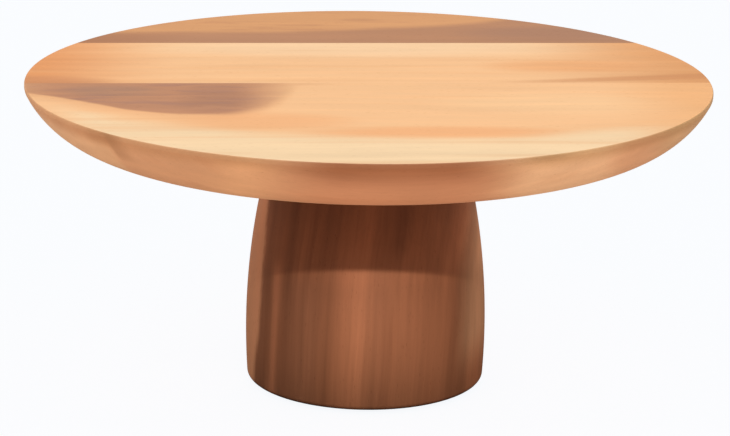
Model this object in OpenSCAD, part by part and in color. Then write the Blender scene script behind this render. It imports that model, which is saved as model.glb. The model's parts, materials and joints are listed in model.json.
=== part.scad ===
// Wooden pedestal cake stand: a turned plate of three edge-glued boards on a
// turned one-piece foot, drawn together by one screw from below.
// Units are millimetres. +Z is up, and Z = 0 is the surface that the stand rests on.
// The boards' grain runs along X, and the foot's grain runs along Z.

/* [Plate] */
// Diameter of the plate
plate_d = 300; // [270:1:330]
// Thickness of the plate, planed from one-inch stock
plate_t = 25.4; // [23:0.2:28]
// Height of the upright land around the plate's top edge
rim_land = 2.1; // [1.6:0.1:3.5]
// Radius of the curve that runs from the land in to the flat underside
under_r = 41.5; // [36:0.5:50]
// Width of the small bevel around the plate's top edge
top_bevel = 0.6; // [0.3:0.1:1.2]
// Distance of the back glue line behind the plate's centre
glue_back_y = 74; // [60:1:90]
// Distance of the front glue line behind the plate's centre, negative when in front
glue_front_y = -9.5; // [-16:0.5:-8.5]

/* [Foot] */
// Largest diameter of the foot
foot_d = 107; // [102:1:114]
// Height of the foot's wood, from its underside to the plate
foot_h = 110.4; // [104:0.2:116]
// Height of the foot's largest diameter above its underside
foot_widest_h = 22; // [18:1:30]
// Radius of the foot's barrel-shaped side
foot_side_r = 315; // [300:5:360]
// Rounding of the foot's bottom edge
foot_edge_r = 2.5; // [1.5:0.5:4]

/* [Fixing] */
// Length of the screw under its head
bolt_len = 100; // [96:1:104]
// Nominal diameter of the screw
bolt_d = 8; // [6:1:8]
// Length of the screw inside the threaded insert
bolt_grip = 13; // [10:0.5:14]
// Length of the threaded insert
insert_len = 15; // [15:0.5:17]
// Outside diameter of the threaded insert
insert_d = 12; // [11:0.5:13]
// Diameter of each locating dowel
dowel_d = 8; // [6:1:9]
// Length of each locating dowel
dowel_len = 30; // [24:1:34]
// Distance of each locating dowel from the foot's axis
dowel_offset = 26; // [24:1:28]

/* [Pads] */
// Diameter of each felt pad
pad_d = 20; // [14:1:22]
// Thickness of each felt pad
pad_t = 1.2; // [0.8:0.1:2]
// Distance of each felt pad's centre from the foot's axis
pad_offset = 37; // [34:0.5:37]

/* [Hidden] */
$fn = 180;

foot_z = pad_t;                         // underside of the foot's wood
plate_z = foot_z + foot_h;              // underside of the plate
top_z = plate_z + plate_t;              // cake surface
plate_r = plate_d / 2;
foot_r = foot_d / 2;
reach = plate_d;                        // larger than any cut

// The underside's curve is an arc that is tangent to the flat and meets the land.
curve_h = plate_t - rim_land;
curve_w = sqrt(under_r * under_r - (under_r - curve_h) * (under_r - curve_h));
flat_r = plate_r - curve_w;
land_z = top_z - rim_land;

// The foot's side is one arc, and a quarter round runs from its lower end in to the underside.
side_x = foot_r - foot_side_r;
side_z = foot_z + foot_widest_h;
edge_z = foot_z + foot_edge_r;
edge_x = side_x + sqrt(pow(foot_side_r, 2) - pow(edge_z - side_z, 2)) - foot_edge_r;

// Fixing: the screw's length and grip set the depth of its counterbore.
head_d = 1.625 * bolt_d;
head_h = bolt_d;
socket_af = 0.75 * bolt_d;
socket_h = bolt_d / 2;
washer_d = 2 * bolt_d;
washer_t = 1.6;
washer_hole_d = bolt_d + 0.4;
tip_z = plate_z + bolt_grip;
seat_z = tip_z - bolt_len;              // where the screw's head bears on its washer
cbore_top_z = seat_z + washer_t;
cbore_d = washer_d + 2;
bolt_hole_d = bolt_d + 1;
thread_gap = 0.05;                      // radial gap that stands for the thread
glue_gap = 0.05;                        // radial room for glue round a dowel
insert_hole_h = insert_len + 2;
dowel_hole_h = dowel_len / 2 + 0.5;

oak = [0.93, 0.72, 0.50];
honey = [0.85, 0.62, 0.42];
cream = [0.97, 0.83, 0.64];
brown = [0.55, 0.34, 0.22];

// Half section of the whole plate
module plate_section() {
    polygon([[0, plate_z], [flat_r, plate_z], [flat_r, land_z], [plate_r, land_z],
             [plate_r, top_z - top_bevel], [plate_r - top_bevel, top_z], [0, top_z]]);
    intersection() {
        translate([flat_r, plate_z + under_r]) circle(r = under_r, $fn = 360);
        translate([flat_r, plate_z]) square([curve_w, curve_h]);
    }
}

// The turned plate between two upright planes across Y
module plate_slice(y0, y1) {
    intersection() {
        rotate_extrude() plate_section();
        translate([-reach, y0, plate_z - 1]) cube([2 * reach, y1 - y0, plate_t + 2]);
    }
}

// A blind hole for half of a dowel, on the joint between foot and plate
module dowel_hole(y) {
    translate([0, y, plate_z - dowel_hole_h])
        cylinder(d = dowel_d + 2 * glue_gap, h = 2 * dowel_hole_h);
}

// Half section of the whole foot
module foot_section() {
    intersection() {
        translate([side_x, side_z]) circle(r = foot_side_r, $fn = 1440);
        translate([0, edge_z]) square([foot_r + 1, plate_z - edge_z]);
    }
    translate([0, foot_z]) square([edge_x, foot_edge_r]);
    intersection() {
        translate([edge_x, edge_z]) circle(r = foot_edge_r);
        translate([edge_x, foot_z]) square([foot_edge_r, foot_edge_r]);
    }
}

// Back board of the plate
module plate_board_back() {
    color(honey) plate_slice(glue_back_y, reach);
}

// Middle board of the plate, which also takes the insert and the rear dowel
module plate_board_middle() {
    color(oak) difference() {
        plate_slice(glue_front_y, glue_back_y);
        translate([0, 0, plate_z - 1])
            cylinder(d = insert_d + 2 * thread_gap, h = insert_hole_h + 1);
        dowel_hole(dowel_offset);
    }
}

// Front board of the plate, which also takes the front dowel
module plate_board_front() {
    color(cream) difference() {
        plate_slice(-reach, glue_front_y);
        dowel_hole(-dowel_offset);
    }
}

// One-piece turned foot, drilled and counterbored for the screw and drilled for both dowels
module pedestal() {
    color(brown) difference() {
        rotate_extrude() foot_section();
        translate([0, 0, foot_z - 1]) cylinder(d = bolt_hole_d, h = foot_h + 2);
        translate([0, 0, foot_z - 1]) cylinder(d = cbore_d, h = cbore_top_z - foot_z + 1);
        dowel_hole(dowel_offset);
        dowel_hole(-dowel_offset);
    }
}

// Threaded insert in the plate's underside, with a driving slot across its mouth
module threaded_insert() {
    color("silver") difference() {
        union() {
            translate([0, 0, plate_z]) cylinder(d = insert_d, h = insert_len - 1);
            translate([0, 0, plate_z + insert_len - 1])
                cylinder(d1 = insert_d, d2 = insert_d - 2, h = 1);
        }
        translate([0, 0, plate_z - 1]) cylinder(d = bolt_d + 2 * thread_gap, h = insert_len + 2);
        translate([0, 0, plate_z - 1])
            cylinder(d1 = bolt_d + 4, d2 = bolt_d, h = 2);
        translate([-reach / 2, -0.8, plate_z - 1]) cube([reach, 1.6, 3]);
    }
}

// Socket-head screw with its head down in the counterbore
module centre_bolt() {
    color("dimgray") difference() {
        union() {
            translate([0, 0, seat_z]) cylinder(d = bolt_d, h = bolt_len - 1);
            translate([0, 0, tip_z - 1]) cylinder(d1 = bolt_d, d2 = bolt_d - 2, h = 1);
            translate([0, 0, seat_z - head_h + 0.6]) cylinder(d = head_d, h = head_h - 0.6);
            translate([0, 0, seat_z - head_h]) cylinder(d1 = head_d - 1.2, d2 = head_d, h = 0.6);
        }
        translate([0, 0, seat_z - head_h - 1])
            cylinder(d = socket_af / cos(30), h = socket_h + 1, $fn = 6);
    }
}

// Flat washer between the screw's head and the top of the counterbore
module bolt_washer() {
    color("silver") difference() {
        translate([0, 0, seat_z]) cylinder(d = washer_d, h = washer_t);
        translate([0, 0, seat_z - 1]) cylinder(d = washer_hole_d, h = washer_t + 2);
    }
}

// Dowel with bevelled ends, half in the foot and half in the plate
module dowel(y) {
    translate([0, y, plate_z - dowel_len / 2]) {
        translate([0, 0, 1]) cylinder(d = dowel_d, h = dowel_len - 2);
        cylinder(d1 = dowel_d - 1.6, d2 = dowel_d, h = 1);
        translate([0, 0, dowel_len - 1]) cylinder(d1 = dowel_d, d2 = dowel_d - 1.6, h = 1);
    }
}

// The two locating dowels, behind and in front of the screw
module locating_dowels() {
    color("burlywood") for (s = [-1, 1]) dowel(s * dowel_offset);
}

// Four felt pads under the foot
module base_pads() {
    color("saddlebrown") for (a = [45:90:315]) rotate([0, 0, a])
        translate([pad_offset, 0, 0]) cylinder(d = pad_d, h = pad_t);
}

plate_board_back();
plate_board_middle();
plate_board_front();
pedestal();
threaded_insert();
centre_bolt();
bolt_washer();
locating_dowels();
base_pads();
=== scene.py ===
"""Looks for the wooden pedestal cake stand: detailed meshes, wood and steel materials, studio light."""

import json
import math

import bmesh
import bpy
from mathutils import Matrix, Vector, noise

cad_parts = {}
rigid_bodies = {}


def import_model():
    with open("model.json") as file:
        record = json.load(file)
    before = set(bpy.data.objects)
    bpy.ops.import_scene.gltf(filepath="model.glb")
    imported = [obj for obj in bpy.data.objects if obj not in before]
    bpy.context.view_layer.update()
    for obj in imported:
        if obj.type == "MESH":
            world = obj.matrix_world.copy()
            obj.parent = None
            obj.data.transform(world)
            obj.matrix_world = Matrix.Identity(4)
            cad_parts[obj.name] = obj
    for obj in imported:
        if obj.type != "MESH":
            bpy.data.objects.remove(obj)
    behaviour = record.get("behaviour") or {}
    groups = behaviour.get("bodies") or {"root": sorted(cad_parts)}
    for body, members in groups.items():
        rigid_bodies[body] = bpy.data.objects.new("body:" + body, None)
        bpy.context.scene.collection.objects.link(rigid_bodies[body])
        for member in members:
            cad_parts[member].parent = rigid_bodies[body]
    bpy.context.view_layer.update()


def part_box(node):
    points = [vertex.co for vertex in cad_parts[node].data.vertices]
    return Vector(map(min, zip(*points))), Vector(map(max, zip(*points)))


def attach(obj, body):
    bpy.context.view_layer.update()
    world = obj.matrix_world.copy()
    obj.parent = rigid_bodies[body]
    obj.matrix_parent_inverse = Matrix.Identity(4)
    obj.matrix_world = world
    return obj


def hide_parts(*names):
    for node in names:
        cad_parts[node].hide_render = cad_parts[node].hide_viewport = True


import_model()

MM = 0.001


# ---------------------------------------------------------------- sizes, in millimetres


def box_mm(node):
    low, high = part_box(node)
    return low / MM, high / MM


front_low, front_high = box_mm("plate_board_front")
middle_low, middle_high = box_mm("plate_board_middle")
foot_low, foot_high = box_mm("pedestal")
screw_low, screw_high = box_mm("centre_bolt")
insert_low, insert_high = box_mm("threaded_insert")
washer_low, washer_high = box_mm("bolt_washer")
dowel_low, dowel_high = box_mm("locating_dowels")
pads_low, pads_high = box_mm("base_pads")

plate_r = -front_low.y
top_z = front_high.z
plate_z = front_low.z
glue_front = front_high.y
glue_back = middle_high.y
rim_land = 2.1
under_r = 41.5
land_z = top_z - rim_land
curve_h = land_z - plate_z
curve_w = math.sqrt(under_r**2 - (under_r - curve_h) ** 2)
flat_r = plate_r - curve_w

foot_z = foot_low.z
foot_r = foot_high.x
foot_side_r = 315.0
foot_edge_r = 2.5
side_x = foot_r - foot_side_r
side_z = foot_z + 22.0
edge_z = foot_z + foot_edge_r
edge_x = side_x + math.sqrt(foot_side_r**2 - (edge_z - side_z) ** 2) - foot_edge_r

seat_z = washer_low.z
cbore_top_z = washer_high.z
cbore_r = 9.0
bolt_hole_r = 4.5
tip_z = screw_high.z
dowel_y = dowel_high.y - 4.0
thread_pitch = 1.25
thread_low = tip_z - 28.0


# ---------------------------------------------------------------- camera


def turned(v, degrees):
    return Matrix.Rotation(math.radians(degrees), 3, "Z") @ Vector(v)


def make_camera():
    """The photograph's view: fitted to the plate's and the foot's outlines."""
    pitch, yaw, roll = (math.radians(a) for a in (15.5489, -0.0393, 0.8328))
    ahead = Vector((math.sin(yaw) * math.cos(pitch), math.cos(yaw) * math.cos(pitch), -math.sin(pitch)))
    right = Vector((math.cos(yaw), -math.sin(yaw), 0))
    up = right.cross(ahead)
    right, up = (
        right * math.cos(roll) + up * math.sin(roll),
        up * math.cos(roll) - right * math.sin(roll),
    )
    place = turned((0, -1.2, 0.270295), -4) + Vector((0, 0, top_z * MM))
    axes = [turned(v, -4) for v in (right, up, -ahead)]
    data = bpy.data.cameras.new("camera")
    data.sensor_fit = "HORIZONTAL"
    data.sensor_width = 36
    data.lens = 138.32
    data.clip_start = 0.02
    data.clip_end = 200
    camera = bpy.data.objects.new("camera", data)
    bpy.context.scene.collection.objects.link(camera)
    camera.matrix_world = Matrix.Translation(place) @ Matrix(axes).transposed().to_4x4()
    bpy.context.scene.camera = camera


make_camera()


# ---------------------------------------------------------------- meshes


def new_object(name, bm, smooth_deg=32, weighted=True):
    """A finished, closed object from a bmesh whose points are in millimetres."""
    bmesh.ops.remove_doubles(bm, verts=bm.verts, dist=0.0005)
    bmesh.ops.recalc_face_normals(bm, faces=bm.faces)
    bmesh.ops.scale(bm, vec=(MM, MM, MM), verts=bm.verts)
    mesh = bpy.data.meshes.new(name)
    bm.to_mesh(mesh)
    bm.free()
    mesh.shade_smooth()
    mesh.set_sharp_from_angle(angle=math.radians(smooth_deg))
    obj = bpy.data.objects.new(name, mesh)
    bpy.context.scene.collection.objects.link(obj)
    if weighted:
        weigh(obj)
    return obj


def weigh(obj):
    normals = obj.modifiers.new("flat_faces_stay_flat", "WEIGHTED_NORMAL")
    normals.keep_sharp = True
    normals.weight = 100


def grid_faces(bm, rows, closed=False):
    """Joins rows of bmesh points into quads. closed joins each row's end to its start."""
    for a, b in zip(rows, rows[1:]):
        count = len(a) if closed else len(a) - 1
        for i in range(count):
            j = (i + 1) % len(a)
            bm.faces.new((a[i], a[j], b[j], b[i]))


def lathe(bm, loop, segments, radius=None, centre=(0, 0), caps=False):
    """Turns (r, z) points round Z. radius(k, r, z, angle) may change a point's radius.
    A loop without caps closes on itself; with caps, its first and last rings are filled."""
    rings = []
    for k, (r, z) in enumerate(loop):
        ring = []
        for i in range(segments):
            a = 2 * math.pi * i / segments
            at = radius(k, r, z, a) if radius else r
            ring.append(bm.verts.new((centre[0] + at * math.cos(a), centre[1] + at * math.sin(a), z)))
        rings.append(ring)
    if caps:
        grid_faces(bm, rings, closed=True)
        bm.faces.new(rings[0])
        bm.faces.new(rings[-1])
    else:
        grid_faces(bm, rings + [rings[0]], closed=True)
    return rings


def arc(cx, cz, r, start, end, steps):
    """(x, z) points along an arc, its angles in degrees."""
    out = []
    for i in range(steps + 1):
        a = math.radians(start + (end - start) * i / steps)
        out.append((cx + r * math.cos(a), cz + r * math.sin(a)))
    return out


def soft_corner(before, corner, after, steps=3):
    """(x, z) points that round off a corner between two nearby points."""
    out = []
    for i in range(steps + 1):
        t = i / steps
        out.append(
            tuple(
                (1 - t) ** 2 * before[n] + 2 * t * (1 - t) * corner[n] + t**2 * after[n]
                for n in (0, 1)
            )
        )
    return out


def steps_between(a, b, count):
    """count points after a, up to and with b."""
    return [tuple(a[n] + (b[n] - a[n]) * i / count for n in (0, 1)) for i in range(1, count + 1)]


def plate_profile():
    """(r, z) from the top flat's edge down the rim to the underside's flat."""
    edge = 0.8
    points = arc(plate_r - edge, top_z - edge, edge, 90, 0, 6)
    first = math.degrees(math.asin((under_r - curve_h) / under_r))
    points += soft_corner(
        (plate_r, land_z + 0.5),
        (plate_r, land_z),
        arc(flat_r, plate_z + under_r, under_r, -first - 0.7, -90, 1)[0],
    )
    points += arc(flat_r, plate_z + under_r, under_r, -first - 0.7, -90, 26)[1:]
    return points


PROFILE = plate_profile()
COLUMNS = 72


def board(name, y0, y1, rows):
    """One board of the turned plate between two upright planes across Y.
    None for a plane means that the board ends in the rim there."""
    bm = bmesh.new()
    rings = []
    for j in range(rows + 1):
        side = []
        for r, z in PROFILE:
            a0 = -math.pi / 2 if y0 is None else math.asin(y0 / r)
            a1 = math.pi / 2 if y1 is None else math.asin(y1 / r)
            a = a0 + (a1 - a0) * j / rows
            side.append((r * math.cos(a), r * math.sin(a), z))
        points = [
            (side[0][0] * (2 * c / COLUMNS - 1), side[0][1], top_z) for c in range(COLUMNS + 1)
        ]
        points += side[1:-1]
        points += [
            (side[-1][0] * (1 - 2 * c / COLUMNS), side[-1][1], plate_z) for c in range(COLUMNS + 1)
        ]
        points += [(-x, y, z) for x, y, z in reversed(side[1:-1])]
        rings.append([bm.verts.new(p) for p in points])
    grid_faces(bm, rings, closed=True)
    for y in (y0, y1):
        if y is None:
            continue
        cap = []
        for r, z in PROFILE:
            half = math.sqrt(r * r - y * y)
            cap.append([bm.verts.new((half * (2 * c / COLUMNS - 1), y, z)) for c in range(COLUMNS + 1)])
        grid_faces(bm, cap)
    return new_object(name, bm)


def hole(obj, loop, centre=(0, 0), segments=64):
    """Cuts a turned hole, given as (r, z) points from its closed end to well outside the wood."""
    bm = bmesh.new()
    lathe(bm, loop, segments, centre=centre, caps=True)
    cutter = new_object("cutter", bm, weighted=False)
    cut = obj.modifiers.new("hole", "BOOLEAN")
    cut.operation = "DIFFERENCE"
    cut.solver = "EXACT"
    cut.object = cutter
    with bpy.context.temp_override(object=obj, active_object=obj):
        bpy.ops.object.modifier_move_to_index(modifier=cut.name, index=0)
        bpy.ops.object.modifier_apply(modifier=cut.name)
    bpy.data.objects.remove(cutter)
    tidy(obj)


def tidy(obj, smooth_deg=32):
    """Merges points that a cut left on top of each other, and marks the sharp edges again."""
    bm = bmesh.new()
    bm.from_mesh(obj.data)
    bmesh.ops.remove_doubles(bm, verts=bm.verts, dist=2e-7)
    bmesh.ops.dissolve_degenerate(bm, edges=bm.edges, dist=1e-7)
    for face in bm.faces:
        face.smooth = True
    bm.to_mesh(obj.data)
    bm.free()
    obj.data.set_sharp_from_angle(angle=math.radians(smooth_deg))


def drilled(r, closed_z, mouth_z, ease=0.35):
    """(r, z) points of a blind hole with an eased mouth, from its closed end outwards."""
    out = 1 if mouth_z > closed_z else -1
    return [
        (r, closed_z),
        (r, mouth_z - out * ease),
        (r + ease, mouth_z),
        (r + ease + 2, mouth_z + out * 2),
    ]


def make_boards():
    back = board("plate_back_wood", glue_back, None, 40)
    middle = board("plate_middle_wood", glue_front, glue_back, 24)
    front = board("plate_front_wood", None, glue_front, 58)
    insert_r = insert_high.x + 0.05
    dowel_r = dowel_high.x + 0.05
    hole(middle, drilled(insert_r, insert_high.z + 2.0, plate_z, 0.5))
    hole(middle, drilled(dowel_r, dowel_high.z + 0.5, plate_z), (0, dowel_y))
    hole(front, drilled(dowel_r, dowel_high.z + 0.5, plate_z), (0, -dowel_y))
    return back, middle, front


def make_foot():
    bm = bmesh.new()
    neck = math.degrees(math.asin((plate_z - side_z) / foot_side_r))
    ease = 0.35
    eased = math.degrees(math.asin((plate_z - ease - side_z) / foot_side_r))
    low = math.degrees(math.asin((edge_z - side_z) / foot_side_r))
    top = arc(side_x, side_z, foot_side_r, neck, neck, 1)[0]
    start = arc(side_x, side_z, foot_side_r, eased, low, 52)
    loop = soft_corner((top[0] - ease, plate_z), top, start[0])
    loop += start[1:]
    loop += arc(edge_x, edge_z, foot_edge_r, 0, -90, 8)[1:]
    loop += steps_between((edge_x, foot_z), (cbore_r + 0.8, foot_z), 12)
    loop += arc(cbore_r + 0.8, foot_z + 0.8, 0.8, -90, -180, 4)[1:]
    loop += steps_between((cbore_r, foot_z + 0.8), (cbore_r, cbore_top_z), 6)
    loop += steps_between((cbore_r, cbore_top_z), (bolt_hole_r, cbore_top_z), 2)
    loop += steps_between((bolt_hole_r, cbore_top_z), (bolt_hole_r, plate_z - 0.4), 16)
    loop += [(bolt_hole_r + 0.4, plate_z)]
    loop += steps_between((bolt_hole_r + 0.4, plate_z), (top[0] - ease, plate_z), 10)[:-1]
    lathe(bm, loop, 192)
    foot = new_object("foot_wood", bm)
    dowel_r = dowel_high.x + 0.05
    for y in (-dowel_y, dowel_y):
        hole(foot, drilled(dowel_r, dowel_low.z - 0.5, plate_z), (0, y))
    return foot


def thread_depth(z, angle, pitch, depth, low, high, fade):
    """How far a thread's groove goes in at a point, fading out towards both ends."""
    phase = (z / pitch - angle / (2 * math.pi)) % 1.0
    groove = 1 - abs(2 * phase - 1)
    groove = max(0.0, min(1.0, (groove - 0.06) / 0.84))
    ends = max(0.0, min(1.0, (z - low) / fade)) * max(0.0, min(1.0, (high - z) / fade))
    return depth * groove * ends


def make_screw():
    """Socket-head screw: hexagon socket, knurled head, plain shank and a cut thread."""
    head_z = screw_low.z
    across = 3.0
    bm = bmesh.new()
    loop, kind = [], []

    def add(points, what):
        for p in points:
            loop.append(p)
            kind.append(what)

    add([(0.4, head_z + 4.0)], "round")
    add([(2.2, head_z + 4.0), (across, head_z + 3.8), (across, head_z + 2.2), (across, head_z + 0.45)], "hex")
    add([(3.75, head_z), (5.4, head_z)], "round")
    add(arc(5.6, head_z + 0.9, 0.9, -90, 0, 5)[1:], "round")
    add([(6.5, head_z + 1.3)], "round")
    add([(6.5, head_z + 1.3 + 0.5 * i) for i in range(1, 12)], "knurl")
    add([(6.5, seat_z - 0.6), (6.45, seat_z - 0.25), (6.2, seat_z)], "round")
    add([(5.0, seat_z), (4.4, seat_z), (4.05, seat_z + 0.25), (4.0, seat_z + 0.6)], "round")
    add(steps_between((4.0, seat_z + 0.6), (4.0, thread_low), 24), "round")
    fine = 0.16
    count = int((tip_z - 0.9 - thread_low) / fine)
    add([(4.0, thread_low + fine * i) for i in range(1, count)], "thread")
    add([(3.9, tip_z - 0.8), (3.2, tip_z - 0.1), (2.9, tip_z), (0.4, tip_z)], "round")

    def radius(k, r, z, angle):
        if kind[k] == "hex":
            within = (angle % (math.pi / 3)) - math.pi / 6
            return min(r / math.cos(within), 4.2) if r > 2.5 else r
        if kind[k] == "knurl":
            tooth = 0.5 - 0.5 * math.cos(32 * angle)
            edge = min(1.0, (z - head_z - 1.3) / 0.8, (seat_z - 0.6 - z) / 0.8)
            return r - 0.16 * tooth * max(0.0, edge)
        if kind[k] == "thread":
            return r - thread_depth(z, angle, thread_pitch, 0.68, thread_low, tip_z - 0.8, 1.6)
        return r

    lathe(bm, loop, 96, radius=radius, caps=True)
    return new_object("screw_steel", bm, smooth_deg=40, weighted=False)


def make_insert():
    """Threaded insert: a coarse wood thread outside, the screw's own thread inside, and a slot."""
    low, high = insert_low.z, insert_high.z
    fine = 0.16
    bm = bmesh.new()
    loop, kind = [], []

    def add(points, what):
        for p in points:
            loop.append(p)
            kind.append(what)

    add([(4.75, low), (5.75, low), (5.95, low + 0.2)], "plain")
    count = int((high - 1.0 - low - 0.3) / 0.25)
    add([(6.0, low + 0.3 + 0.25 * i) for i in range(count + 1)], "outside")
    add([(5.3, high - 0.35), (4.9, high), (4.4, high)], "plain")
    count = int((high - low - 1.4) / fine)
    add([(4.06, high - 0.4 - fine * i) for i in range(count)], "inside")

    def radius(k, r, z, angle):
        if kind[k] == "outside":
            return r - thread_depth(z, angle, 3.0, 0.95, low + 2.3, high - 0.9, 1.2)
        if kind[k] == "inside":
            return r - thread_depth(z, angle, thread_pitch, 0.62, low + 2.3, tip_z - 0.8, 1.2)
        return r

    lathe(bm, loop, 96, radius=radius)
    insert = new_object("insert_steel", bm, smooth_deg=40, weighted=False)
    bm = bmesh.new()
    made = bmesh.ops.create_cube(bm, size=1.0)["verts"]
    bmesh.ops.scale(bm, vec=(30, 1.6, 4), verts=made)
    bmesh.ops.translate(bm, vec=(0, 0, low), verts=made)
    cutter = new_object("cutter", bm, weighted=False)
    cut = insert.modifiers.new("slot", "BOOLEAN")
    cut.operation = "DIFFERENCE"
    cut.solver = "EXACT"
    cut.object = cutter
    with bpy.context.temp_override(object=insert, active_object=insert):
        bpy.ops.object.modifier_apply(modifier=cut.name)
    bpy.data.objects.remove(cutter)
    tidy(insert, 40)
    return insert


def make_washer():
    """Flat washer with a rolled upper edge and a small burr-free lower one."""
    low, high = washer_low.z, washer_high.z
    outer, inner = washer_high.x, 4.2
    bm = bmesh.new()
    loop = arc(outer - 0.3, low + 0.3, 0.3, -90, 0, 3)
    loop += arc(outer - 0.55, high - 0.55, 0.55, 0, 90, 5)
    loop += arc(inner + 0.25, high - 0.25, 0.25, 90, 180, 3)
    loop += arc(inner + 0.2, low + 0.2, 0.2, 180, 270, 3)
    lathe(bm, loop, 96)
    return new_object("washer_steel", bm)


def make_dowels():
    """Two fluted beech dowels with rounded ends."""
    low, high = dowel_low.z, dowel_high.z
    r = dowel_high.x
    bm = bmesh.new()
    for y in (-dowel_y, dowel_y):
        loop = [(0.3, low)] + arc(r - 1.2, low + 1.2, 1.2, -90, 0, 5)
        loop += steps_between((r, low + 1.2), (r, high - 1.2), 20)
        loop += arc(r - 1.2, high - 1.2, 1.2, 0, 90, 5)[1:] + [(0.3, high)]

        def radius(k, at, z, angle):
            ends = max(0.0, min(1.0, (z - low - 1.0) / 1.5, (high - 1.0 - z) / 1.5))
            flute = max(0.0, math.cos(20 * angle)) ** 3
            return at - 0.32 * flute * ends

        lathe(bm, loop, 160, radius=radius, centre=(0, y), caps=True)
    return new_object("dowels_beech", bm, smooth_deg=50, weighted=False)


def make_pads():
    """Four pressed felt pads: cut discs with soft, slightly uneven edges."""
    bm = bmesh.new()
    height = pads_high.z
    r = 10.0
    for n in range(4):
        angle = math.radians(45 + 90 * n)
        cx, cy = 37 * math.cos(angle), 37 * math.sin(angle)
        soft = height / 2
        loop = [(r * i / 8, 0.0) for i in range(1, 8)] + [(r - 0.75, 0.0)]
        loop += arc(r - soft, soft, soft, -75, 75, 8)
        loop += [(r - 0.75, height)] + [(r * i / 8, height) for i in range(7, 0, -1)]
        loop[0], loop[-1] = (0.9, 0.0), (0.9, height)

        def radius(k, at, z, turn, seed=n):
            if at < r - 0.8:
                return at
            p = Vector((math.cos(turn) * 3.1, math.sin(turn) * 3.1 + seed * 7.7, z * 1.7))
            return at - 0.10 - 0.16 * (0.5 + 0.5 * noise.noise(p * 2.3)) - 0.05 * (0.5 + 0.5 * noise.noise(p * 9.0))

        lathe(bm, loop, 128, radius=radius, centre=(cx, cy), caps=True)
    return new_object("pads_felt", bm, smooth_deg=60, weighted=False)


# ---------------------------------------------------------------- shader writing


def put(tree, value, slot):
    if isinstance(value, Wire):
        tree.links.new(value.socket, slot)
    elif isinstance(value, (tuple, list)) and len(slot.default_value) == 4 and len(value) == 3:
        slot.default_value = (*value, 1.0)
    else:
        slot.default_value = value


class Wire:
    """A socket of a shader tree, with arithmetic."""

    def __init__(self, tree, socket):
        self.tree, self.socket = tree, socket

    def math(self, kind, *values, clamp=False):
        node = self.tree.nodes.new("ShaderNodeMath")
        node.operation = kind
        node.use_clamp = clamp
        for slot, value in zip(node.inputs, values):
            put(self.tree, value, slot)
        return Wire(self.tree, node.outputs[0])

    def __add__(self, o):
        return self.math("ADD", self, o)

    def __radd__(self, o):
        return self.math("ADD", o, self)

    def __sub__(self, o):
        return self.math("SUBTRACT", self, o)

    def __rsub__(self, o):
        return self.math("SUBTRACT", o, self)

    def __mul__(self, o):
        return self.math("MULTIPLY", self, o)

    def __rmul__(self, o):
        return self.math("MULTIPLY", o, self)

    def __truediv__(self, o):
        return self.math("DIVIDE", self, o)

    def __neg__(self):
        return self.math("MULTIPLY", self, -1.0)

    def clamp(self):
        return self.math("ADD", self, 0.0, clamp=True)

    def sin(self):
        return self.math("SINE", self)

    def sqrt(self):
        return self.math("SQRT", self)

    def abs(self):
        return self.math("ABSOLUTE", self)

    def power(self, o):
        return self.math("POWER", self, o)

    def ramp(self, low, high):
        """0 below low, 1 above high, smooth between. low may be above high, for the reverse."""
        node = self.tree.nodes.new("ShaderNodeMapRange")
        node.interpolation_type = "SMOOTHSTEP"
        flip = not isinstance(low, Wire) and not isinstance(high, Wire) and low > high
        if flip:
            low, high = high, low
        put(self.tree, self, node.inputs[0])
        put(self.tree, low, node.inputs[1])
        put(self.tree, high, node.inputs[2])
        out = Wire(self.tree, node.outputs[0])
        return 1.0 - out if flip else out

    def curve(self, points):
        """A smooth curve through (input, output) points."""
        x0, x1 = points[0][0], points[-1][0]
        y0, y1 = min(p[1] for p in points), max(p[1] for p in points)
        node = self.tree.nodes.new("ShaderNodeFloatCurve")
        line = node.mapping.curves[0]
        node.mapping.extend = "HORIZONTAL"
        while len(line.points) < len(points):
            line.points.new(0.5, 0.5)
        for at, (x, y) in zip(line.points, points):
            at.location = ((x - x0) / (x1 - x0), (y - y0) / (y1 - y0))
            at.handle_type = "AUTO_CLAMPED"
        node.mapping.update()
        put(self.tree, 1.0, node.inputs[0])
        put(self.tree, ((self - x0) / (x1 - x0)).clamp(), node.inputs[1])
        return Wire(self.tree, node.outputs[0]) * (y1 - y0) + y0


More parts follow.
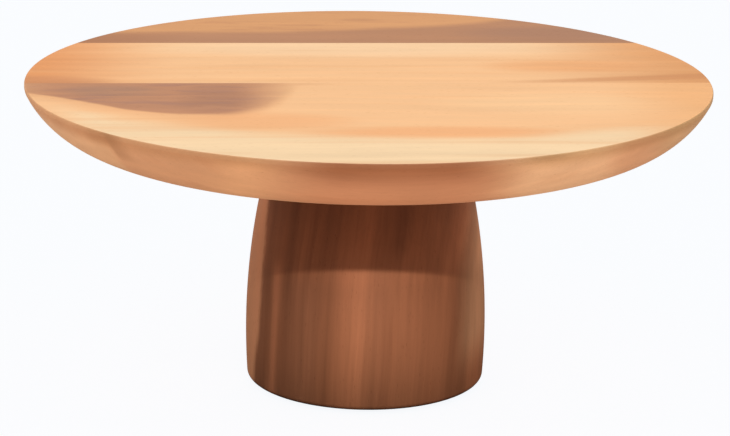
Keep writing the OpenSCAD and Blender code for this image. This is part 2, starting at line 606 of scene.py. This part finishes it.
class Shader:
    """A new material with one Principled shader and object coordinates in millimetres."""

    def __init__(self, name):
        self.material = bpy.data.materials.new(name)
        self.material.use_nodes = True
        self.tree = self.material.node_tree
        self.principled = next(n for n in self.tree.nodes if n.type == "BSDF_PRINCIPLED")
        where = self.tree.nodes.new("ShaderNodeTexCoord")
        scale = self.tree.nodes.new("ShaderNodeVectorMath")
        scale.operation = "SCALE"
        scale.inputs["Scale"].default_value = 1 / MM
        self.tree.links.new(where.outputs["Object"], scale.inputs[0])
        split = self.tree.nodes.new("ShaderNodeSeparateXYZ")
        self.tree.links.new(scale.outputs[0], split.inputs[0])
        self.x, self.y, self.z = (Wire(self.tree, s) for s in split.outputs)

    def vector(self, x, y, z):
        node = self.tree.nodes.new("ShaderNodeCombineXYZ")
        for slot, value in zip(node.inputs, (x, y, z)):
            put(self.tree, value, slot)
        return Wire(self.tree, node.outputs[0])

    def noise(self, x, y, z, detail=2.0, rough=0.5, distortion=0.0):
        """Noise from -1 to 1, mostly within -0.5 to 0.5."""
        node = self.tree.nodes.new("ShaderNodeTexNoise")
        put(self.tree, self.vector(x, y, z), node.inputs["Vector"])
        node.inputs["Scale"].default_value = 1.0
        node.inputs["Detail"].default_value = detail
        node.inputs["Roughness"].default_value = rough
        node.inputs["Distortion"].default_value = distortion
        return Wire(self.tree, node.outputs[0]) * 2.0 - 1.0

    def cells(self, x, y, z, randomness=1.0):
        """Distance to the nearest of many scattered points."""
        node = self.tree.nodes.new("ShaderNodeTexVoronoi")
        put(self.tree, self.vector(x, y, z), node.inputs["Vector"])
        node.inputs["Scale"].default_value = 1.0
        node.inputs["Randomness"].default_value = randomness
        return Wire(self.tree, node.outputs["Distance"])

    def mix(self, factor, a, b):
        node = self.tree.nodes.new("ShaderNodeMix")
        node.data_type = "RGBA"
        put(self.tree, factor, node.inputs[0])
        put(self.tree, a, node.inputs[6])
        put(self.tree, b, node.inputs[7])
        return Wire(self.tree, node.outputs[2])

    def scaled(self, colour, factor):
        node = self.tree.nodes.new("ShaderNodeVectorMath")
        node.operation = "SCALE"
        put(self.tree, colour, node.inputs[0])
        put(self.tree, factor, node.inputs["Scale"])
        return Wire(self.tree, node.outputs[0])

    def times(self, colour, by):
        node = self.tree.nodes.new("ShaderNodeVectorMath")
        node.operation = "MULTIPLY"
        put(self.tree, colour, node.inputs[0])
        put(self.tree, by, node.inputs[1])
        return Wire(self.tree, node.outputs[0])

    def blob(self, u, v, u0, v0, ru, rv):
        """1 at a centre, falling smoothly to 0 at the given distances."""
        du, dv = (u - u0) / ru, (v - v0) / rv
        return (du * du + dv * dv).ramp(1.0, 0.0)

    def bump(self, height, distance_mm, strength=1.0):
        node = self.tree.nodes.new("ShaderNodeBump")
        node.inputs["Strength"].default_value = strength
        node.inputs["Distance"].default_value = distance_mm * MM
        put(self.tree, height, node.inputs["Height"])
        self.tree.links.new(node.outputs[0], self.principled.inputs["Normal"])

    def set(self, **values):
        for key, value in values.items():
            put(self.tree, value, self.principled.inputs[key.replace("_", " ")])


def linear(*srgb):
    """Scene-linear colour from 0-255 display values."""
    out = []
    for c in srgb:
        c /= 255
        out.append(c / 12.92 if c <= 0.04045 else ((c + 0.055) / 1.055) ** 2.4)
    return tuple(out)


TOP_LIGHT = 1.28
TOP_GLOSS = 0.035


def top(*srgb):
    """The wood colour that shows as srgb on the plate's lit top."""
    return tuple(max(0.01, (c - TOP_GLOSS) / TOP_LIGHT) for c in linear(*srgb))


def wood_detail(s, along, a, b, pith, ring=7.0, seed=0.0):
    """Grain shared by every wood piece, from coordinates along and across the grain.
    Gives soft figure, growth bands and fibre lines from -1 to 1, and pores from 0 to 1."""
    bend = s.noise(along * 0.007 + seed, a * 0.016, b * 0.016, detail=1.0) * 9.0
    wobble = s.noise(along * 0.03, a * 0.09 + seed, b * 0.09, detail=2.0) * 1.1
    a2 = a + bend + wobble
    b2 = b + bend * 0.5
    figure = s.noise(along * 0.0075, a2 * 0.055 + seed, b2 * 0.055, detail=3.0, rough=0.55)
    da, db = a2 - pith[0], b2 - pith[1]
    distance = (da * da + db * db).sqrt()
    uneven = s.noise(along * 0.002, distance * 0.045, seed, detail=2.0)
    wave = (distance * (2 * math.pi / ring) + uneven * 7.0).sin()
    bands = (wave * 0.5 + 0.5).power(2.2) * 2.0 - 1.0
    fibres = s.noise(along * 0.028, a2 * 1.15, b2 * 1.15 + seed, detail=3.0, rough=0.6)
    fine = s.noise(along * 0.09, a2 * 3.4, b2 * 3.4 + seed, detail=1.0)
    pore = s.cells(along * 0.17, a * 1.05 + fibres * 0.5, b * 1.05).ramp(0.20, 0.10)
    thin = s.noise(along * 0.02, a2 * 0.2, b2 * 0.2 + seed, detail=1.0).ramp(-0.25, 0.25)
    pore = pore * (thin * 0.75 + 0.25)
    return figure, bands, fibres, fine, pore


def finish_wood(s, colour, detail, pore_colour, rough=0.50, gloss=0.20, coat=0.05):
    """Adds grain, pores and a worn oil finish to a wood's base colour."""
    figure, bands, fibres, fine, pore = detail
    shade = 1.0 + figure * 0.085 + bands * 0.016 + fibres * 0.075 + fine * 0.03
    colour = s.scaled(colour, shade)
    colour = s.mix(pore * 0.34, colour, s.times(colour, pore_colour))
    s.set(
        Base_Color=colour,
        Roughness=(rough + fibres * 0.07 + pore * 0.16 + bands * 0.015).clamp(),
        Specular_IOR_Level=gloss,
        Coat_Weight=coat,
        Coat_Roughness=0.24,
    )
    s.bump(fibres * 0.5 + fine * 0.3 + bands * 0.12 - pore * 1.6, 0.03, 0.75)


# ---------------------------------------------------------------- plate woods

PEACH = top(250, 200, 152)
RIM = (0.565, 0.335, 0.205)
PORE = (0.62, 0.50, 0.42)


def rim_and_ends(s, colour, side_colour):
    """Turns the top's colour into the rim's and underside's redder wood, darker on end grain, with painted shade
    just under the top edge, strongest on the left and right.
    """
    on_top = s.z.ramp(top_z - 0.30, top_z - 0.06)
    radius = (s.x * s.x + s.y * s.y).sqrt()
    across = s.x / radius
    # painted shade: darker just under the rim's top edge, strongest on the left
    shade_under_edge = s.z.ramp(top_z - 8.5, top_z - 1.5) * (across.ramp(-0.35, -0.60) * 0.55 + 0.45)
    mottled = s.noise(s.x * 0.030, s.y * 0.030, s.z * 0.10, detail=3.0)
    side = s.scaled(side_colour, 1.0 - across.abs().ramp(0.74, 0.99) * 0.07 + mottled * 0.11)
    side = s.mix(shade_under_edge, side, s.times(side, (0.90, 0.85, 0.76)))
    # painted shade: darker just under the rim's top edge on the right
    shade_under_right_edge = s.z.ramp(top_z - 7.5, top_z - 1.0) * across.ramp(0.30, 0.45)
    side = s.mix(shade_under_right_edge * 0.9, side, s.times(side, (0.80, 0.76, 0.66)))
    return s.mix(on_top, s.times(side, (1.13, 1.13, 1.07)), colour)


def front_wood():
    s = Shader("plate_front_oiled_wood")
    u, v = s.x, s.y
    detail = wood_detail(s, u, v, s.z, pith=(-96.0, 62.0), ring=8.5, seed=3.1)
    figure, bands, fibres = detail[:3]
    ragged = figure * 3.0 + fibres * 0.8
    colour = s.mix(s.blob(u, v + figure * 9.0, 80, -48, 66, 27) * 0.85, PEACH, top(253, 207, 159))
    sap_edge = u.curve([(-150, -20), (-140, -42), (-125, -60), (-110, -75), (-75, -93), (-45, -104), (0, -110), (45, -110), (75, -103), (105, -92), (128, -75), (150, -36)])
    sap = (v - sap_edge + figure * 9.0).ramp(11.0, -9.0) * (u + figure * 8.0).ramp(-141, -114)
    sap = sap * (1.0 - (u + figure * 14.0).ramp(86, 124) * 0.65)
    colour = s.mix(sap, colour, top(250, 219, 178))
    orange = s.blob(u, v, -48, -79, 46, 19) * 0.8 + s.blob(u, v, 22, -99, 66, 13)
    colour = s.mix(((orange + figure * 0.3) * (1.0 - sap * 0.6)).clamp() * 0.8, colour, top(246, 182, 131))
    right = (u + figure * 12.0).ramp(92, 142)
    colour = s.mix(right * 0.8, colour, top(243, 184, 130))
    streaky = s.noise(u * 0.006, v * 0.13, s.z * 0.1 + 9.0, detail=2.0).ramp(0.05, 0.5)
    colour = s.mix(streaky * 0.3, colour, top(240, 180, 130))
    edge = u.curve([(-160, -20), (-150, -27), (-133, -37.5), (-117, -48.7), (-101, -60), (-83, -67), (-68, -67.3), (-52, -60), (-43, -48), (-36, -30), (-31, -12), (-18, 5)])
    soft = u.curve([(-150, 1.8), (-80, 2.4), (-58, 6.5), (-30, 12.0)])
    feather = ((v + ragged * 0.9 - edge) / soft).ramp(-1.0, 1.0)
    halo = ((v + ragged - edge + 7.0) / 9.0).ramp(-1.0, 1.0) * (u + figure * 6.0).ramp(-22, -60)
    colour = s.mix(halo * 0.45, colour, top(232, 168, 120))
    dark = s.mix(
        (s.blob(u, v, -67, -42, 24, 34) * 0.85 + figure * 0.9).clamp(), top(197, 145, 114), top(181, 134, 109)
    )
    dark = s.mix(s.blob(u, v, -112, -24, 26, 14) * 0.75, dark, top(178, 138, 116))
    cloudy = s.noise(u * 0.030, v * 0.14, s.z * 0.1 + 6.0, detail=3.0, rough=0.6)
    dark = s.mix(cloudy.ramp(0.02, 0.36) * 0.55, dark, top(172, 131, 116))
    dark = s.mix(cloudy.ramp(-0.05, -0.36) * 0.35, dark, top(206, 152, 118))
    dark = s.mix((bands * 0.5 + fibres * 1.2).clamp() * 0.22, dark, top(214, 158, 120))
    ends = (u + fibres * 3.0).ramp(-158, -132) * 0.35 + 0.65
    fading = (u + figure * 10.0).ramp(-29, -62) * 0.92 + 0.08
    colour = s.mix((feather * ends * fading).clamp(), colour, dark)
    tail = (v - fibres).ramp(-15.5, -10.0) * u.ramp(-6, -44) * (1.0 - feather)
    colour = s.mix(tail * 0.5, colour, top(206, 150, 114))
    radius = (s.x * s.x + s.y * s.y).sqrt()
    seen = (u * 0.9976 - v * 0.0698) / (v * 0.1185 + 151.1)
    around = seen + figure * 0.05
    side = s.mix(around.ramp(0.30, 0.50) * around.ramp(0.78, 0.66), RIM, (0.690, 0.470, 0.305))
    side = s.mix(around.ramp(0.80, 0.92), side, (0.505, 0.330, 0.190))
    side = s.mix(((around + 0.36) / 0.16).abs().ramp(1.0, 0.0) * 0.8, side, (0.640, 0.390, 0.230))
    # the rim's dark middle; its darkening towards the top edge is painted shade
    centre = s.mix(s.z.ramp(top_z - 15.5, top_z - 1.8), (0.535, 0.275, 0.165), (0.350, 0.155, 0.081))
    side = s.mix(around.ramp(-0.37, -0.07) * around.ramp(0.49, 0.23), side, centre)
    # painted shade: the rim darker just under its top edge at three places along it
    shade_by_notch = s.blob(seen, s.z, -0.772, top_z - 2.5, 0.055, 8.0) * 0.65
    shade_by_centre = ((seen - 0.50) / 0.15).abs().ramp(1.0, 0.0) * s.z.ramp(top_z - 4.0, top_z - 1.0) * 0.85
    shade_by_left = ((seen + 0.38) / 0.19).abs().ramp(1.0, 0.0) * s.z.ramp(top_z - 6.5, top_z - 1.0) * 0.60
    side = s.mix((shade_by_notch + shade_by_centre + shade_by_left).clamp(), side, s.times(side, (0.76, 0.70, 0.62)))
    slant = seen + (s.z - top_z) * 0.0044
    side = s.mix(slant.ramp(-0.762, -0.785) * s.z.ramp(top_z - 3.0, top_z - 9.0) * 0.8, side, (0.620, 0.410, 0.255))
    notch = slant.ramp(-0.774, -0.760) * slant.ramp(-0.700, -0.756) * s.z.ramp(top_z - 14.0, top_z - 8.0)
    side = s.mix(notch * 0.75, side, (0.400, 0.225, 0.125))
    side = s.mix(s.noise(u * 0.006, s.z * 0.16, v * 0.16, detail=2.0).ramp(0.0, 0.55) * 0.35, side, s.times(side, (0.90, 0.82, 0.78)))
    colour = rim_and_ends(s, colour, side)
    finish_wood(s, colour, detail, PORE)
    return s.material


def middle_wood():
    s = Shader("plate_middle_oiled_wood")
    u, v = s.x, s.y
    detail = wood_detail(s, u, v, s.z, pith=(118.0, 40.0), ring=9.0, seed=11.7)
    figure, bands, fibres = detail[:3]
    colour = PEACH
    pale = s.blob(u, v + figure * 3.0, 8, 66, 140, 30)
    colour = s.mix(pale * 0.95, colour, top(251, 212, 170))
    left = (u + figure * 14.0).ramp(-78, -150)
    colour = s.mix(left, colour, top(233, 162, 110))
    right = (u + figure * 14.0).ramp(66, 150)
    colour = s.mix(right, colour, top(228, 166, 115))
    colour = s.mix(s.blob(u, v + figure * 4.0, 92, 24, 48, 17) * 0.6, colour, top(240, 172, 118))
    streaky = s.noise(u * 0.006, v * 0.11, s.z * 0.1 + 2.0, detail=2.0).ramp(0.05, 0.5)
    colour = s.mix(streaky * 0.34, colour, top(241, 184, 134))
    line = (v - ((u - 60) * 0.140 - 8.6) + fibres * 1.3) / ((u - 40) * 0.050 + 2.4)
    streak = (line * line).ramp(1.0, 0.0) * (u + fibres * 8.0).ramp(42, 106)
    colour = s.mix(streak * 0.58, colour, top(208, 146, 103))
    low_left = s.blob(u, v + fibres * 2.0, -150, -8, 46, 17)
    colour = s.mix(low_left * 0.75, colour, top(206, 145, 106))
    radius = (s.x * s.x + s.y * s.y).sqrt()
    side = RIM
    side = s.mix(s.noise(u * 0.006, s.z * 0.16, v * 0.16, detail=2.0).ramp(0.0, 0.55) * 0.4, side, s.times(side, (0.90, 0.82, 0.78)))
    colour = rim_and_ends(s, colour, side)
    finish_wood(s, colour, detail, PORE)
    return s.material


def back_wood():
    s = Shader("plate_back_oiled_wood")
    u, v = s.x, s.y
    detail = wood_detail(s, u, v, s.z, pith=(150.0, -30.0), ring=7.0, seed=23.4)
    figure, bands, fibres = detail[:3]
    base = top(223, 166, 119)
    base = s.mix((figure * 1.6 + 0.2).clamp() * 0.5, base, top(206, 152, 112))
    base = s.mix(s.blob(u + fibres * 3.0, v + fibres * 2.0, 4, 127, 12, 5) * 0.35, base, top(184, 134, 103))
    cloudy = s.noise(u * 0.022, v * 0.13, s.z * 0.1 + 2.0, detail=3.0, rough=0.6)
    base = s.mix(cloudy.ramp(0.0, 0.36) * 0.6, base, top(201, 146, 110))
    base = s.mix(cloudy.ramp(-0.05, -0.36) * 0.4, base, top(223, 165, 118))
    edge = u.curve([(-150, 97), (-105, 97), (-75, 98), (-45, 98), (-15, 101), (15, 107), (45, 114), (75, 128), (95, 143), (150, 190)])
    band = (v + figure * 4.0 + fibres * 1.5 - edge).ramp(6.5, -5.5)
    dark = s.mix((s.blob(u, v, 100, 94, 62, 26) + figure * 0.5).clamp(), top(190, 141, 110), top(179, 135, 110))
    dark = s.mix(u.ramp(-70, -135) * 0.8, dark, top(178, 126, 96))
    dark = s.mix((fibres * 1.4 + bands * 0.3).clamp() * 0.25, dark, top(204, 150, 114))
    colour = s.mix(band, base, dark)
    side = s.times(s.mix(band * 0.8, base, dark), (0.88, 0.84, 0.86))
    colour = rim_and_ends(s, colour, side)
    finish_wood(s, colour, detail, PORE)
    return s.material


# ---------------------------------------------------------------- foot wood


def foot_wood():
    s = Shader("foot_oiled_wood")
    x, y, z = s.x, s.y, s.z
    detail = wood_detail(s, z, x, y, pith=(-160.0, 60.0), ring=9.0, seed=5.5)
    figure, bands, fibres = detail[:3]
    sway = s.noise(z * 0.010, x * 0.03, y * 0.03 + 4.0, detail=1.0) * 1.6
    at = x * 0.9976 - y * 0.0698
    leaning = at - (z - 60.0) * (z.ramp(40, 80) * 0.07 + 0.05) + sway
    leaning = leaning - leaning.ramp(-22, -34) * 3.2
    light = leaning.curve([(-54, 0.24), (-48, 0.21), (-45.2, 0.195), (-41.0, 0.215), (-36, 0.185), (-30, 0.190), (-20.7, 0.172), (-11.6, 0.200), (-3.4, 0.240), (6.6, 0.192), (15.7, 0.200), (24.8, 0.212), (34, 0.228), (39.3, 0.222), (43.0, 0.25), (46.0, 0.30), (49.0, 0.42), (54, 0.46)])
    light = light + ((leaning + 41.0) / 2.6).abs().ramp(1.0, 0.0) * z.ramp(66, 52) * 0.060
    light = light * (1.0 - ((leaning + 40.5) / 4.5).abs().ramp(1.0, 0.0) * z.ramp(55, 66) * 0.24)
    lines = s.noise(z * 0.006, leaning * 0.30, y * 0.12 + 1.0, detail=2.0, rough=0.55)
    light = light * (1.0 + lines * 0.30)
    # painted shade: the foot darker towards its base and up under the plate, with a painted lighter band along the
    # edge of the plate's shadow
    light = light * z.curve([(0, 0.84), (10, 0.92), (25, 1.0), (52, 1.02), (66, 1.18), (76, 1.09), (86, 0.90), (95, 0.80), (112, 0.70)])
    # painted light: a lighter strip up the right edge, high on the foot
    light = light * (1.0 + ((leaning - 41.0) / 4.5).abs().ramp(1.0, 0.0) * z.ramp(50, 80) * 0.45)
    light = light * (1.0 - leaning.ramp(38, 45) * z.ramp(30, 6) * 0.29)
    dark_a = ((leaning + 36.0 + fibres * 0.8) / 3.0).abs().ramp(1.0, 0.1)
    dark_b = ((leaning + 25.0 + fibres * 0.8) / 2.0).abs().ramp(1.0, 0.1) * z.ramp(40, 65)
    dark_c = ((leaning - 12.5 + fibres * 2.0) / 6.5).abs().ramp(1.0, 0.1) * z.ramp(64, 78)
    dark_d = ((leaning + 45.0 + fibres * 0.8) / 2.0).abs().ramp(1.0, 0.1) * (z.ramp(60, 100) * 0.6 + 0.4)
    dark_e = ((leaning - 40.0 + fibres * 0.8) / 3.0).abs().ramp(1.0, 0.1) * z.ramp(60, 35) * 0.7
    streaks = (dark_a * 0.8 + dark_b * 0.7 + dark_c * 0.75 + dark_d * 0.7 + dark_e).clamp()
    colour = s.scaled((1.0, 0.375, 0.175), light)
    colour = s.mix(streaks * (z.ramp(40, 60) * 0.12 + 0.30), colour, (0.075, 0.026, 0.012))
    # painted light: the left side, below the plate's shadow, greyer and paler
    colour = s.mix(leaning.ramp(-14, -26) * z.ramp(66, 52), colour, s.times(colour, (1.05, 1.11, 1.18)))
    sap = (leaning + 48.0 + z.ramp(32, 10) * 1.5 + z.ramp(66, 80) * 0.9 + fibres * 1.0).ramp(1.2, -1.2) * (1.0 - y.ramp(0, 26))
    colour = s.mix(sap * 0.92, colour, (0.52, 0.240, 0.127))
    # painted sheen: the right edge greyer and paler, fading out towards the base
    colour = s.mix(leaning.ramp(38, 48) * z.ramp(7, 32), colour, s.times(colour, (1.0, 1.34, 1.52)))
    patch = s.noise(z * 0.011, x * 0.07, y * 0.07 + 3.0, detail=3.0)
    colour = s.mix(patch.ramp(0.0, 0.5) * 0.30, colour, s.times(colour, (0.80, 0.72, 0.68)))
    finish_wood(s, colour, detail, (0.5, 0.42, 0.38), rough=0.50, gloss=0.12, coat=0.03)
    return s.material


# ---------------------------------------------------------------- hardware and pads


def steel(name, colour, rough, lines=0.0):
    s = Shader(name)
    around = s.noise(s.x * 1.3, s.y * 1.3, s.z * 1.3, detail=4.0, rough=0.6)
    turned_marks = s.noise(s.x * 0.2, s.y * 0.2, s.z * 22.0, detail=2.0)
    spot = s.noise(s.x * 0.5 + 4.0, s.y * 0.5, s.z * 0.5, detail=2.0).ramp(0.1, 0.5)
    base = s.scaled(colour, 1.0 + around * 0.14 - spot * 0.10)
    s.set(
        Base_Color=base,
        Metallic=1.0,
        Roughness=(rough + around * 0.10 + turned_marks * lines + spot * 0.10).clamp(),
    )
    s.bump(turned_marks * lines * 4.0 + around * 0.3, 0.01, 0.6)
    return s.material


def beech():
    s = Shader("dowel_beech")
    detail = wood_detail(s, s.z, s.x, s.y, pith=(-30.0, 12.0), ring=2.6, seed=8.8)
    fleck = s.cells(s.z * 0.5, s.x * 1.6, s.y * 1.6).ramp(0.25, 0.12)
    colour = s.mix(fleck * 0.4, (0.60, 0.385, 0.225), (0.42, 0.225, 0.115))
    finish_wood(s, colour, detail, (0.7, 0.6, 0.5), rough=0.7, gloss=0.25, coat=0.0)
    return s.material


def felt():
    s = Shader("pad_felt")
    tangle = s.noise(s.x * 2.2, s.y * 2.2, s.z * 2.2, detail=5.0, rough=0.75, distortion=1.6)
    hair = s.noise(s.x * 6.0, s.y * 6.0, s.z * 6.0, detail=3.0, rough=0.7, distortion=3.0)
    patch = s.noise(s.x * 0.35, s.y * 0.35, s.z * 0.35, detail=1.0)
    colour = s.scaled((0.085, 0.055, 0.038), 1.0 + tangle * 0.55 + hair * 0.35 + patch * 0.15)
    s.set(
        Base_Color=colour,
        Roughness=0.95,
        Specular_IOR_Level=0.15,
        Sheen_Weight=0.5,
        Sheen_Roughness=0.55,
    )
    s.bump(tangle * 0.8 + hair * 0.6, 0.12, 0.8)
    return s.material


# ---------------------------------------------------------------- the stand


def place(piece, material, slot, *nodes):
    piece.data.materials.clear()
    piece.data.materials.append(material)
    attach(piece, "root")
    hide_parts(*nodes)


back_board, middle_board, front_board = make_boards()
place(back_board, back_wood(), "plate_wood_back", "plate_board_back")
place(middle_board, middle_wood(), "plate_wood_middle", "plate_board_middle")
place(front_board, front_wood(), "plate_wood_front", "plate_board_front")
place(make_foot(), foot_wood(), "foot_wood", "pedestal")
place(make_screw(), steel("screw_black_oxide", (0.075, 0.077, 0.083), 0.38, 0.03), "bolt_steel", "centre_bolt")
place(make_insert(), steel("insert_zinc", (0.63, 0.63, 0.60), 0.34, 0.05), "insert_steel", "threaded_insert")
place(make_washer(), steel("washer_zinc", (0.60, 0.61, 0.60), 0.32, 0.03), "washer_steel", "bolt_washer")
place(make_dowels(), beech(), "dowel_wood", "locating_dowels")
place(make_pads(), felt(), "pad_felt", "base_pads")


# ---------------------------------------------------------------- studio

BACKDROP = linear(251, 252, 254)
FLOOR_SEEN = linear(251.3, 253.3, 256.0)
WARM_FLOOR = (1.0, 0.75, 0.60)
WARM_WORLD = (1.0, 0.90, 0.82)


def ray_kinds(tree):
    path = tree.nodes.new("ShaderNodeLightPath")
    return (Wire(tree, path.outputs[n]) for n in ("Is Camera Ray", "Is Glossy Ray"))


def by_ray(tree, camera, warm, seen, slot):
    """The backdrop's own white where the camera sees it, and a warmer white where it only throws light."""
    node = tree.nodes.new("ShaderNodeMix")
    node.data_type = "RGBA"
    put(tree, camera, node.inputs[0])
    put(tree, warm, node.inputs[6])
    put(tree, seen, node.inputs[7])
    tree.links.new(node.outputs[2], slot)


def make_floor():
    """A large pale floor that keeps a soft shadow round the foot and throws light up under the plate."""
    bm = bmesh.new()
    bmesh.ops.create_grid(bm, x_segments=1, y_segments=1, size=60.0)
    mesh = bpy.data.meshes.new("floor")
    bm.to_mesh(mesh)
    bm.free()
    floor = bpy.data.objects.new("floor", mesh)
    bpy.context.scene.collection.objects.link(floor)
    floor.location.z = -0.1 * MM
    material = bpy.data.materials.new("floor_white")
    material.use_nodes = True
    material.cycles.emission_sampling = "NONE"
    tree = material.node_tree
    shader = next(n for n in tree.nodes if n.type == "BSDF_PRINCIPLED")
    shader.inputs["Base Color"].default_value = (0.16, 0.18, 0.20, 1)
    shader.inputs["Roughness"].default_value = 1.0
    shader.inputs["Specular IOR Level"].default_value = 0.0
    camera, glossy = ray_kinds(tree)
    by_ray(tree, camera, WARM_FLOOR, FLOOR_SEEN, shader.inputs["Emission Color"])
    where = tree.nodes.new("ShaderNodeTexCoord")
    split = tree.nodes.new("ShaderNodeSeparateXYZ")
    tree.links.new(where.outputs["Object"], split.inputs[0])
    x, y = (Wire(tree, split.outputs[n]) for n in (0, 1))
    # painted shadow: the light the floor throws is dimmed near the stand, where the plate shades it
    open_floor = (x * x + y * y).sqrt().ramp(0.10, 0.42) * 1.30 + 0.03
    bounced = open_floor * (1.0 - glossy * 0.75)
    put(tree, camera * 0.945 + (1.0 - camera) * bounced, shader.inputs["Emission Strength"])
    mesh.materials.append(material)
    return floor


def make_world():
    world = bpy.data.worlds.new("studio")
    bpy.context.scene.world = world
    world.use_nodes = True
    tree = world.node_tree
    back = next(n for n in tree.nodes if n.type == "BACKGROUND")
    camera, glossy = ray_kinds(tree)
    by_ray(tree, camera, WARM_WORLD, BACKDROP, back.inputs["Color"])
    put(tree, camera * 0.72 + glossy * 0.02 + 0.28, back.inputs["Strength"])


def aim(obj, azimuth, elevation, distance, target):
    """Puts a light round target and turns it to face it. Azimuth 0 is in front, 90 is on the right."""
    a, e = math.radians(azimuth), math.radians(elevation)
    towards = Vector((math.sin(a) * math.cos(e), -math.cos(a) * math.cos(e), math.sin(e)))
    turn = towards.to_track_quat("Z", "Y").to_matrix().to_4x4()
    obj.matrix_world = Matrix.Translation(Vector(target) * MM + towards * distance) @ turn


def add_light(name, kind, energy, colour, receivers, **settings):
    data = bpy.data.lights.new(name, kind)
    data.energy = energy
    data.color = colour
    for key, value in settings.items():
        setattr(data, key, value)
    light = bpy.data.objects.new(name, data)
    bpy.context.scene.collection.objects.link(light)
    light.light_linking.receiver_collection = receivers
    return light


def collect(name, keep):
    group = bpy.data.collections.new(name)
    bpy.context.scene.collection.children.link(group)
    for obj in list(bpy.context.scene.objects):
        if obj.type == "MESH" and obj.name != "floor" and keep(obj.name):
            group.objects.link(obj)
    return group


def make_lights():
    """A wide soft light over the plate, a soft fill and a narrow key on the foot, and a low strip on each side."""
    stand = collect("lit_stand", lambda name: True)
    plate = collect("lit_plate", lambda name: name.startswith("plate_"))
    foot = collect("lit_foot", lambda name: not name.startswith("plate_"))
    over = add_light("overhead", "SUN", 3.46, (0.995, 1.0, 0.995), plate, angle=math.radians(85))
    aim(over, -4, 86, 1.0, (0, 0, 100))
    fill = add_light("foot_fill", "SUN", 4.8, (1.0, 0.97, 0.94), foot, angle=math.radians(85))
    aim(fill, -4, 68, 1.0, (0, 0, 100))
    key = add_light("key", "SPOT", 240, (1.0, 0.97, 0.93), foot, spot_size=math.radians(2.6), spot_blend=1.0, shadow_soft_size=0.03)
    aim(key, -4, 33.0, 2.0, (0.6, -53, 44))
    under = add_light("under_plate", "AREA", 0.9, (1.0, 0.72, 0.56), plate, shape="DISK", size=0.84)
    aim(under, 0, -90, 0.096, (0, 0, 100))
    under.visible_glossy = False
    under.visible_camera = False
    for side, azimuth, power in (("left", -126, 3.0), ("right", 118, 3.0)):
        light = add_light("side_" + side, "AREA", power, (1.0, 0.95, 0.90), stand, shape="RECTANGLE", size=0.5, size_y=0.35)
        aim(light, azimuth, 6, 0.9, (0, 0, 60))
        light.visible_glossy = False
        light.visible_camera = False


make_floor()
make_world()
make_lights()
bpy.context.scene.view_settings.view_transform = "Standard"
bpy.context.scene.view_settings.look = "None"
